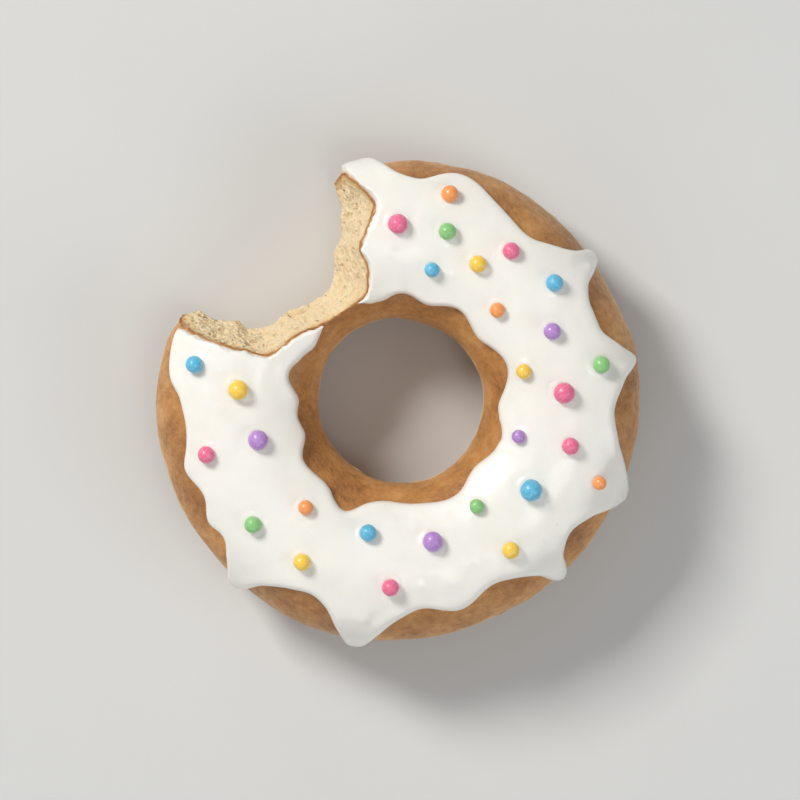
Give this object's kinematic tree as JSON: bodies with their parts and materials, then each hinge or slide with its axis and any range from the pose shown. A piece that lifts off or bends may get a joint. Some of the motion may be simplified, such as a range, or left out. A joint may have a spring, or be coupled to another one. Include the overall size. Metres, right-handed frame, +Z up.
{
  "type": "bitten doughnut",
  "caption": "Ring doughnut with a bite taken out of its rim, wavy-edged icing over the top that runs down the side in drips, and sugar pearls on the icing.",
  "frame": {"origin": "on the axis of the hole, at the level of the flat base", "axes": "+Z up out of the iced side along the axis of the hole; the bite is on the -X +Y side"},
  "size_m": [0.0906, 0.0921, 0.0294],
  "materials": {
    "dough": "fried golden-brown crust with a pale band at the widest level, and cream-yellow crumb in the bite",
    "icing": "set white sugar icing with a soft gloss"
  },
  "bodies": {
    "root": {"dough": "dough", "icing": "icing"}
  },
  "joints": []
}
